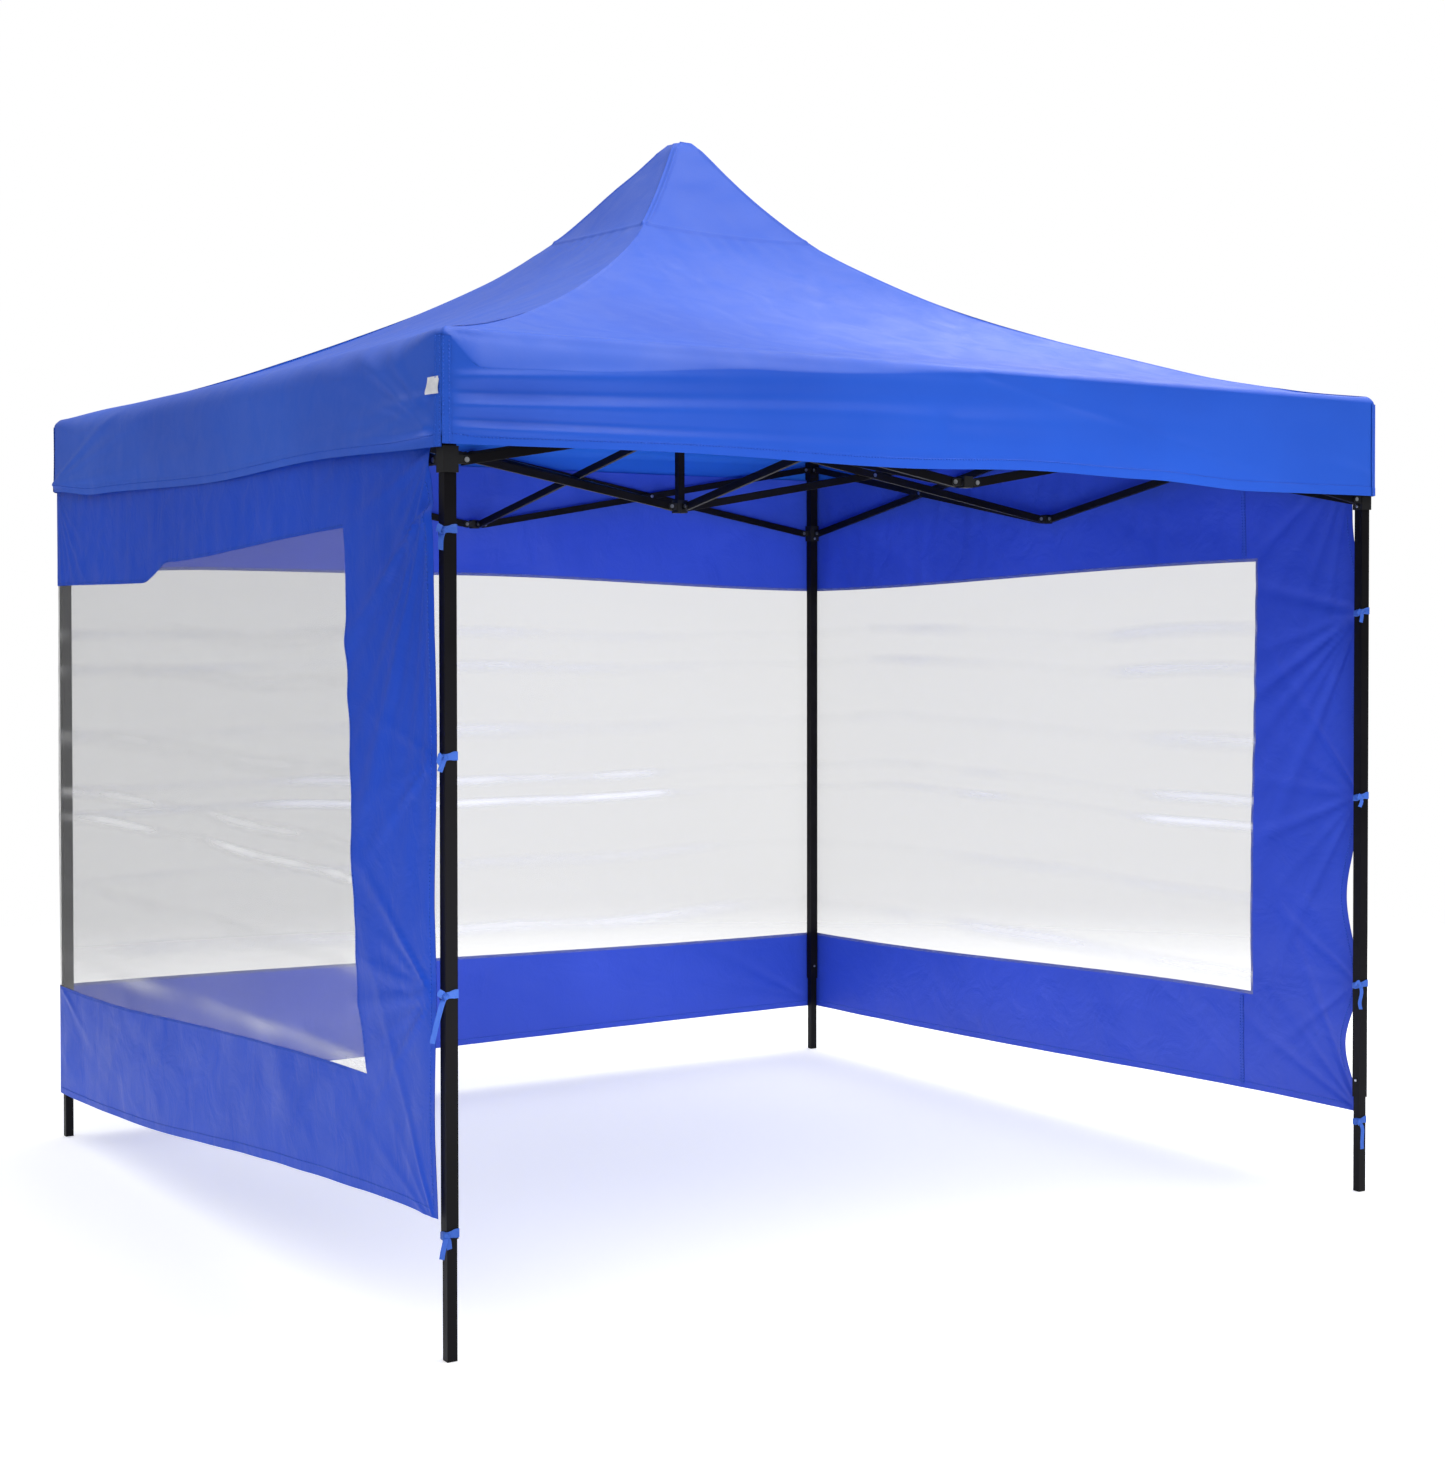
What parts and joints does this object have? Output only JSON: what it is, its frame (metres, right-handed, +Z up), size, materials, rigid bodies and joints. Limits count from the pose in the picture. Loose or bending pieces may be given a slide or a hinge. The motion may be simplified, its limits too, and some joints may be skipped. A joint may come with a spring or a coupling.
{
  "type": "pop up canopy",
  "caption": "Square pop-up shelter with a folding scissor frame, height-adjustable legs, a peaked fabric roof with valance and a three-sided wall with clear windows.",
  "frame": {"origin": "centre of the canopy's base, on the floor between the four feet", "axes": "+Z up, -Y out of the open side, +X to the right seen from the open side"},
  "size_m": [3, 3, 3.1658],
  "materials": {
    "black_frame": "satin",
    "black_plastic": "matte",
    "button_steel": "satin",
    "roof_fabric": "satin",
    "wall_fabric": "satin",
    "tie_ribbon": "satin",
    "window_film": "gloss"
  },
  "bodies": {
    "hub": {"upper_hub": "black_plastic", "canopy_top": "roof_fabric", "side_wall": "wall_fabric", "window_film": "window_film", "wall_ties": "tie_ribbon"},
    "inner_bar_down_front": {"inner_bar_down_front": "black_frame"},
    "inner_bar_up_front": {"inner_bar_up_front": "black_frame"},
    "middle_bracket_lower_front": {"middle_bracket_lower_front": "black_plastic"},
    "middle_bracket_upper_front": {"middle_bracket_upper_front": "black_plastic"},
    "centre_pole": {"centre_pole": "black_frame", "lower_hub": "black_plastic", "pole_cap": "black_plastic"},
    "side_bar_down_front_to_front_right": {"side_bar_down_front_to_front_right": "black_frame"},
    "side_bar_up_front_to_front_right": {"side_bar_up_front_to_front_right": "black_frame"},
    "outer_leg_front_right": {"outer_leg_front_right": "black_frame"},
    "slider_front_right": {"slider_front_right": "black_plastic"},
    "inner_leg_front_right": {"inner_leg_front_right": "black_frame"},
    "slider_button_front_right": {"slider_button_front_right": "button_steel"},
    "leg_button_front_right": {"leg_button_front_right": "button_steel"},
    "side_bar_down_front_to_front_left": {"side_bar_down_front_to_front_left": "black_frame"},
    "side_bar_up_front_to_front_left": {"side_bar_up_front_to_front_left": "black_frame"},
    "inner_bar_down_right": {"inner_bar_down_right": "black_frame"},
    "inner_bar_up_right": {"inner_bar_up_right": "black_frame"},
    "middle_bracket_lower_right": {"middle_bracket_lower_right": "black_plastic"},
    "middle_bracket_upper_right": {"middle_bracket_upper_right": "black_plastic"},
    "side_bar_down_right_to_back_right": {"side_bar_down_right_to_back_right": "black_frame"},
    "side_bar_up_right_to_back_right": {"side_bar_up_right_to_back_right": "black_frame"},
    "outer_leg_back_right": {"outer_leg_back_right": "black_frame"},
    "slider_back_right": {"slider_back_right": "black_plastic"},
    "inner_leg_back_right": {"inner_leg_back_right": "black_frame"},
    "slider_button_back_right": {"slider_button_back_right": "button_steel"},
    "leg_button_back_right": {"leg_button_back_right": "button_steel"},
    "side_bar_down_right_to_front_right": {"side_bar_down_right_to_front_right": "black_frame"},
    "side_bar_up_right_to_front_right": {"side_bar_up_right_to_front_right": "black_frame"},
    "inner_bar_down_back": {"inner_bar_down_back": "black_frame"},
    "inner_bar_up_back": {"inner_bar_up_back": "black_frame"},
    "middle_bracket_lower_back": {"middle_bracket_lower_back": "black_plastic"},
    "middle_bracket_upper_back": {"middle_bracket_upper_back": "black_plastic"},
    "side_bar_down_back_to_back_left": {"side_bar_down_back_to_back_left": "black_frame"},
    "side_bar_up_back_to_back_left": {"side_bar_up_back_to_back_left": "black_frame"},
    "outer_leg_back_left": {"outer_leg_back_left": "black_frame"},
    "slider_back_left": {"slider_back_left": "black_plastic"},
    "inner_leg_back_left": {"inner_leg_back_left": "black_frame"},
    "slider_button_back_left": {"slider_button_back_left": "button_steel"},
    "leg_button_back_left": {"leg_button_back_left": "button_steel"},
    "side_bar_down_back_to_back_right": {"side_bar_down_back_to_back_right": "black_frame"},
    "side_bar_up_back_to_back_right": {"side_bar_up_back_to_back_right": "black_frame"},
    "inner_bar_down_left": {"inner_bar_down_left": "black_frame"},
    "inner_bar_up_left": {"inner_bar_up_left": "black_frame"},
    "middle_bracket_lower_left": {"middle_bracket_lower_left": "black_plastic"},
    "middle_bracket_upper_left": {"middle_bracket_upper_left": "black_plastic"},
    "side_bar_down_left_to_front_left": {"side_bar_down_left_to_front_left": "black_frame"},
    "side_bar_up_left_to_front_left": {"side_bar_up_left_to_front_left": "black_frame"},
    "outer_leg_front_left": {"outer_leg_front_left": "black_frame"},
    "slider_front_left": {"slider_front_left": "black_plastic"},
    "inner_leg_front_left": {"inner_leg_front_left": "black_frame"},
    "slider_button_front_left": {"slider_button_front_left": "button_steel"},
    "leg_button_front_left": {"leg_button_front_left": "button_steel"},
    "side_bar_down_left_to_back_left": {"side_bar_down_left_to_back_left": "black_frame"},
    "side_bar_up_left_to_back_left": {"side_bar_up_left_to_back_left": "black_frame"}
  },
  "joints": [
    {"name": "fold", "type": "hinge", "parent": "hub", "child": "inner_bar_down_front", "pos_m": [0, -0.038, 2.3], "axis": [1, 0, 0], "range_deg": [0, 77], "deforming": ["canopy_top", "side_wall", "window_film", "wall_ties"]},
    {"name": "inner_bar_up_front_middle_pivot", "type": "hinge", "parent": "inner_bar_down_front", "child": "inner_bar_up_front", "pos_m": [0, -0.735, 2.175], "axis": [1, 0, 0], "range_deg": [-154, 0]},
    {"name": "middle_bracket_lower_front_pivot", "type": "hinge", "parent": "inner_bar_down_front", "child": "middle_bracket_lower_front", "pos_m": [0, -1.432, 2.05], "axis": [1, 0, 0], "range_deg": [-77, 0]},
    {"name": "middle_bracket_upper_front_pivot", "type": "hinge", "parent": "inner_bar_up_front", "child": "middle_bracket_upper_front", "pos_m": [0, -1.432, 2.3], "axis": [1, 0, 0], "range_deg": [0, 77]},
    {"name": "lower_hub_pivot", "type": "hinge", "parent": "inner_bar_up_front", "child": "centre_pole", "pos_m": [0, -0.038, 2.05], "axis": [1, 0, 0], "range_deg": [0, 77]},
    {"name": "side_bar_down_front_to_front_right_pivot", "type": "hinge", "parent": "middle_bracket_upper_front", "child": "side_bar_down_front_to_front_right", "pos_m": [0.036, -1.47, 2.3], "axis": [0, -1, 0], "range_deg": [-77, 0]},
    {"name": "side_bar_up_front_to_front_right_pivot", "type": "hinge", "parent": "middle_bracket_lower_front", "child": "side_bar_up_front_to_front_right", "pos_m": [0.036, -1.47, 2.05], "axis": [0, -1, 0], "range_deg": [0, 77]},
    {"name": "outer_leg_front_right_pivot", "type": "hinge", "parent": "side_bar_up_front_to_front_right", "child": "outer_leg_front_right", "pos_m": [1.43, -1.47, 2.3], "axis": [0, -1, 0], "range_deg": [-77, 0]},
    {"name": "slider_front_right_pivot", "type": "hinge", "parent": "side_bar_down_front_to_front_right", "child": "slider_front_right", "pos_m": [1.43, -1.47, 2.05], "axis": [0, -1, 0], "range_deg": [0, 77]},
    {"name": "leg_height_front_right", "type": "slide", "parent": "outer_leg_front_right", "child": "inner_leg_front_right", "axis": [0, 0, 1], "range_m": [0, 0.25], "deforming": ["leg_button_front_right"]},
    {"name": "slider_button_front_right_press", "type": "slide", "parent": "outer_leg_front_right", "child": "slider_button_front_right", "axis": [1, 0, 0], "range_m": [0, 0.008], "stiffness_N_per_m": 400, "springref_m": -0.002},
    {"name": "leg_button_front_right_press", "type": "slide", "parent": "inner_leg_front_right", "child": "leg_button_front_right", "axis": [1, 0, 0], "range_m": [0, 0.0055], "stiffness_N_per_m": 400, "springref_m": -0.002},
    {"name": "side_bar_down_front_to_front_left_pivot", "type": "hinge", "parent": "middle_bracket_upper_front", "child": "side_bar_down_front_to_front_left", "pos_m": [-0.036, -1.47, 2.3], "axis": [0, -1, 0], "range_deg": [0, 77]},
    {"name": "side_bar_up_front_to_front_left_pivot", "type": "hinge", "parent": "middle_bracket_lower_front", "child": "side_bar_up_front_to_front_left", "pos_m": [-0.036, -1.47, 2.05], "axis": [0, -1, 0], "range_deg": [-77, 0]},
    {"name": "inner_bar_down_right_hub_pivot", "type": "hinge", "parent": "hub", "child": "inner_bar_down_right", "pos_m": [0.038, 0, 2.3], "axis": [0, 1, 0], "range_deg": [0, 77]},
    {"name": "inner_bar_up_right_middle_pivot", "type": "hinge", "parent": "inner_bar_down_right", "child": "inner_bar_up_right", "pos_m": [0.735, 0, 2.175], "axis": [0, 1, 0], "range_deg": [-154, 0]},
    {"name": "middle_bracket_lower_right_pivot", "type": "hinge", "parent": "inner_bar_down_right", "child": "middle_bracket_lower_right", "pos_m": [1.432, 0, 2.05], "axis": [0, 1, 0], "range_deg": [-77, 0]},
    {"name": "middle_bracket_upper_right_pivot", "type": "hinge", "parent": "inner_bar_up_right", "child": "middle_bracket_upper_right", "pos_m": [1.432, 0, 2.3], "axis": [0, 1, 0], "range_deg": [0, 77]},
    {"name": "side_bar_down_right_to_back_right_pivot", "type": "hinge", "parent": "middle_bracket_upper_right", "child": "side_bar_down_right_to_back_right", "pos_m": [1.47, 0.036, 2.3], "axis": [1, 0, 0], "range_deg": [-77, 0]},
    {"name": "side_bar_up_right_to_back_right_pivot", "type": "hinge", "parent": "middle_bracket_lower_right", "child": "side_bar_up_right_to_back_right", "pos_m": [1.47, 0.036, 2.05], "axis": [1, 0, 0], "range_deg": [0, 77]},
    {"name": "outer_leg_back_right_pivot", "type": "hinge", "parent": "side_bar_up_right_to_back_right", "child": "outer_leg_back_right", "pos_m": [1.47, 1.43, 2.3], "axis": [1, 0, 0], "range_deg": [-77, 0]},
    {"name": "slider_back_right_pivot", "type": "hinge", "parent": "side_bar_down_right_to_back_right", "child": "slider_back_right", "pos_m": [1.47, 1.43, 2.05], "axis": [1, 0, 0], "range_deg": [0, 77]},
    {"name": "leg_height_back_right", "type": "slide", "parent": "outer_leg_back_right", "child": "inner_leg_back_right", "axis": [0, 0, 1], "range_m": [0, 0.25], "deforming": ["leg_button_back_right"]},
    {"name": "slider_button_back_right_press", "type": "slide", "parent": "outer_leg_back_right", "child": "slider_button_back_right", "axis": [0, 1, 0], "range_m": [0, 0.008], "stiffness_N_per_m": 400, "springref_m": -0.002},
    {"name": "leg_button_back_right_press", "type": "slide", "parent": "inner_leg_back_right", "child": "leg_button_back_right", "axis": [0, 1, 0], "range_m": [0, 0.0055], "stiffness_N_per_m": 400, "springref_m": -0.002},
    {"name": "side_bar_down_right_to_front_right_pivot", "type": "hinge", "parent": "middle_bracket_upper_right", "child": "side_bar_down_right_to_front_right", "pos_m": [1.47, -0.036, 2.3], "axis": [1, 0, 0], "range_deg": [0, 77]},
    {"name": "side_bar_up_right_to_front_right_pivot", "type": "hinge", "parent": "middle_bracket_lower_right", "child": "side_bar_up_right_to_front_right", "pos_m": [1.47, -0.036, 2.05], "axis": [1, 0, 0], "range_deg": [-77, 0]},
    {"name": "inner_bar_down_back_hub_pivot", "type": "hinge", "parent": "hub", "child": "inner_bar_down_back", "pos_m": [0, 0.038, 2.3], "axis": [-1, 0, 0], "range_deg": [0, 77]},
    {"name": "inner_bar_up_back_middle_pivot", "type": "hinge", "parent": "inner_bar_down_back", "child": "inner_bar_up_back", "pos_m": [0, 0.735, 2.175], "axis": [-1, 0, 0], "range_deg": [-154, 0]},
    {"name": "middle_bracket_lower_back_pivot", "type": "hinge", "parent": "inner_bar_down_back", "child": "middle_bracket_lower_back", "pos_m": [0, 1.432, 2.05], "axis": [-1, 0, 0], "range_deg": [-77, 0]},
    {"name": "middle_bracket_upper_back_pivot", "type": "hinge", "parent": "inner_bar_up_back", "child": "middle_bracket_upper_back", "pos_m": [0, 1.432, 2.3], "axis": [-1, 0, 0], "range_deg": [0, 77]},
    {"name": "side_bar_down_back_to_back_left_pivot", "type": "hinge", "parent": "middle_bracket_upper_back", "child": "side_bar_down_back_to_back_left", "pos_m": [-0.036, 1.47, 2.3], "axis": [0, 1, 0], "range_deg": [-77, 0]},
    {"name": "side_bar_up_back_to_back_left_pivot", "type": "hinge", "parent": "middle_bracket_lower_back", "child": "side_bar_up_back_to_back_left", "pos_m": [-0.036, 1.47, 2.05], "axis": [0, 1, 0], "range_deg": [0, 77]},
    {"name": "outer_leg_back_left_pivot", "type": "hinge", "parent": "side_bar_up_back_to_back_left", "child": "outer_leg_back_left", "pos_m": [-1.43, 1.47, 2.3], "axis": [0, 1, 0], "range_deg": [-77, 0]},
    {"name": "slider_back_left_pivot", "type": "hinge", "parent": "side_bar_down_back_to_back_left", "child": "slider_back_left", "pos_m": [-1.43, 1.47, 2.05], "axis": [0, 1, 0], "range_deg": [0, 77]},
    {"name": "leg_height_back_left", "type": "slide", "parent": "outer_leg_back_left", "child": "inner_leg_back_left", "axis": [0, 0, 1], "range_m": [0, 0.25], "deforming": ["leg_button_back_left"]},
    {"name": "slider_button_back_left_press", "type": "slide", "parent": "outer_leg_back_left", "child": "slider_button_back_left", "axis": [-1, 0, 0], "range_m": [0, 0.008], "stiffness_N_per_m": 400, "springref_m": -0.002},
    {"name": "leg_button_back_left_press", "type": "slide", "parent": "inner_leg_back_left", "child": "leg_button_back_left", "axis": [-1, 0, 0], "range_m": [0, 0.0055], "stiffness_N_per_m": 400, "springref_m": -0.002},
    {"name": "side_bar_down_back_to_back_right_pivot", "type": "hinge", "parent": "middle_bracket_upper_back", "child": "side_bar_down_back_to_back_right", "pos_m": [0.036, 1.47, 2.3], "axis": [0, 1, 0], "range_deg": [0, 77]},
    {"name": "side_bar_up_back_to_back_right_pivot", "type": "hinge", "parent": "middle_bracket_lower_back", "child": "side_bar_up_back_to_back_right", "pos_m": [0.036, 1.47, 2.05], "axis": [0, 1, 0], "range_deg": [-77, 0]},
    {"name": "inner_bar_down_left_hub_pivot", "type": "hinge", "parent": "hub", "child": "inner_bar_down_left", "pos_m": [-0.038, 0, 2.3], "axis": [0, -1, 0], "range_deg": [0, 77]},
    {"name": "inner_bar_up_left_middle_pivot", "type": "hinge", "parent": "inner_bar_down_left", "child": "inner_bar_up_left", "pos_m": [-0.735, 0, 2.175], "axis": [0, -1, 0], "range_deg": [-154, 0]},
    {"name": "middle_bracket_lower_left_pivot", "type": "hinge", "parent": "inner_bar_down_left", "child": "middle_bracket_lower_left", "pos_m": [-1.432, 0, 2.05], "axis": [0, -1, 0], "range_deg": [-77, 0]},
    {"name": "middle_bracket_upper_left_pivot", "type": "hinge", "parent": "inner_bar_up_left", "child": "middle_bracket_upper_left", "pos_m": [-1.432, 0, 2.3], "axis": [0, -1, 0], "range_deg": [0, 77]},
    {"name": "side_bar_down_left_to_front_left_pivot", "type": "hinge", "parent": "middle_bracket_upper_left", "child": "side_bar_down_left_to_front_left", "pos_m": [-1.47, -0.036, 2.3], "axis": [-1, 0, 0], "range_deg": [-77, 0]},
    {"name": "side_bar_up_left_to_front_left_pivot", "type": "hinge", "parent": "middle_bracket_lower_left", "child": "side_bar_up_left_to_front_left", "pos_m": [-1.47, -0.036, 2.05], "axis": [-1, 0, 0], "range_deg": [0, 77]},
    {"name": "outer_leg_front_left_pivot", "type": "hinge", "parent": "side_bar_up_left_to_front_left", "child": "outer_leg_front_left", "pos_m": [-1.47, -1.43, 2.3], "axis": [-1, 0, 0], "range_deg": [-77, 0]},
    {"name": "slider_front_left_pivot", "type": "hinge", "parent": "side_bar_down_left_to_front_left", "child": "slider_front_left", "pos_m": [-1.47, -1.43, 2.05], "axis": [-1, 0, 0], "range_deg": [0, 77]},
    {"name": "leg_height_front_left", "type": "slide", "parent": "outer_leg_front_left", "child": "inner_leg_front_left", "axis": [0, 0, 1], "range_m": [0, 0.25], "deforming": ["leg_button_front_left"]},
    {"name": "slider_button_front_left_press", "type": "slide", "parent": "outer_leg_front_left", "child": "slider_button_front_left", "axis": [0, -1, 0], "range_m": [0, 0.008], "stiffness_N_per_m": 400, "springref_m": -0.002},
    {"name": "leg_button_front_left_press", "type": "slide", "parent": "inner_leg_front_left", "child": "leg_button_front_left", "axis": [0, -1, 0], "range_m": [0, 0.0055], "stiffness_N_per_m": 400, "springref_m": -0.002},
    {"name": "side_bar_down_left_to_back_left_pivot", "type": "hinge", "parent": "middle_bracket_upper_left", "child": "side_bar_down_left_to_back_left", "pos_m": [-1.47, 0.036, 2.3], "axis": [-1, 0, 0], "range_deg": [0, 77]},
    {"name": "side_bar_up_left_to_back_left_pivot", "type": "hinge", "parent": "middle_bracket_lower_left", "child": "side_bar_up_left_to_back_left", "pos_m": [-1.47, 0.036, 2.05], "axis": [-1, 0, 0], "range_deg": [-77, 0]}
  ],
  "couplings": [
    {"joint": "inner_bar_up_front_middle_pivot", "follows": "fold", "ratio": -2},
    {"joint": "middle_bracket_lower_front_pivot", "follows": "fold", "ratio": -1},
    {"joint": "middle_bracket_upper_front_pivot", "follows": "fold", "ratio": 1},
    {"joint": "lower_hub_pivot", "follows": "fold", "ratio": 1},
    {"joint": "side_bar_down_front_to_front_right_pivot", "follows": "fold", "ratio": -1},
    {"joint": "side_bar_up_front_to_front_right_pivot", "follows": "fold", "ratio": 1},
    {"joint": "outer_leg_front_right_pivot", "follows": "fold", "ratio": -1},
    {"joint": "slider_front_right_pivot", "follows": "fold", "ratio": 1},
    {"joint": "side_bar_down_front_to_front_left_pivot", "follows": "fold", "ratio": 1},
    {"joint": "side_bar_up_front_to_front_left_pivot", "follows": "fold", "ratio": -1},
    {"joint": "inner_bar_down_right_hub_pivot", "follows": "fold", "ratio": 1},
    {"joint": "inner_bar_up_right_middle_pivot", "follows": "fold", "ratio": -2},
    {"joint": "middle_bracket_lower_right_pivot", "follows": "fold", "ratio": -1},
    {"joint": "middle_bracket_upper_right_pivot", "follows": "fold", "ratio": 1},
    {"joint": "side_bar_down_right_to_back_right_pivot", "follows": "fold", "ratio": -1},
    {"joint": "side_bar_up_right_to_back_right_pivot", "follows": "fold", "ratio": 1},
    {"joint": "outer_leg_back_right_pivot", "follows": "fold", "ratio": -1},
    {"joint": "slider_back_right_pivot", "follows": "fold", "ratio": 1},
    {"joint": "side_bar_down_right_to_front_right_pivot", "follows": "fold", "ratio": 1},
    {"joint": "side_bar_up_right_to_front_right_pivot", "follows": "fold", "ratio": -1},
    {"joint": "inner_bar_down_back_hub_pivot", "follows": "fold", "ratio": 1},
    {"joint": "inner_bar_up_back_middle_pivot", "follows": "fold", "ratio": -2},
    {"joint": "middle_bracket_lower_back_pivot", "follows": "fold", "ratio": -1},
    {"joint": "middle_bracket_upper_back_pivot", "follows": "fold", "ratio": 1},
    {"joint": "side_bar_down_back_to_back_left_pivot", "follows": "fold", "ratio": -1},
    {"joint": "side_bar_up_back_to_back_left_pivot", "follows": "fold", "ratio": 1},
    {"joint": "outer_leg_back_left_pivot", "follows": "fold", "ratio": -1},
    {"joint": "slider_back_left_pivot", "follows": "fold", "ratio": 1},
    {"joint": "side_bar_down_back_to_back_right_pivot", "follows": "fold", "ratio": 1},
    {"joint": "side_bar_up_back_to_back_right_pivot", "follows": "fold", "ratio": -1},
    {"joint": "inner_bar_down_left_hub_pivot", "follows": "fold", "ratio": 1},
    {"joint": "inner_bar_up_left_middle_pivot", "follows": "fold", "ratio": -2},
    {"joint": "middle_bracket_lower_left_pivot", "follows": "fold", "ratio": -1},
    {"joint": "middle_bracket_upper_left_pivot", "follows": "fold", "ratio": 1},
    {"joint": "side_bar_down_left_to_front_left_pivot", "follows": "fold", "ratio": -1},
    {"joint": "side_bar_up_left_to_front_left_pivot", "follows": "fold", "ratio": 1},
    {"joint": "outer_leg_front_left_pivot", "follows": "fold", "ratio": -1},
    {"joint": "slider_front_left_pivot", "follows": "fold", "ratio": 1},
    {"joint": "side_bar_down_left_to_back_left_pivot", "follows": "fold", "ratio": 1},
    {"joint": "side_bar_up_left_to_back_left_pivot", "follows": "fold", "ratio": -1}
  ]
}
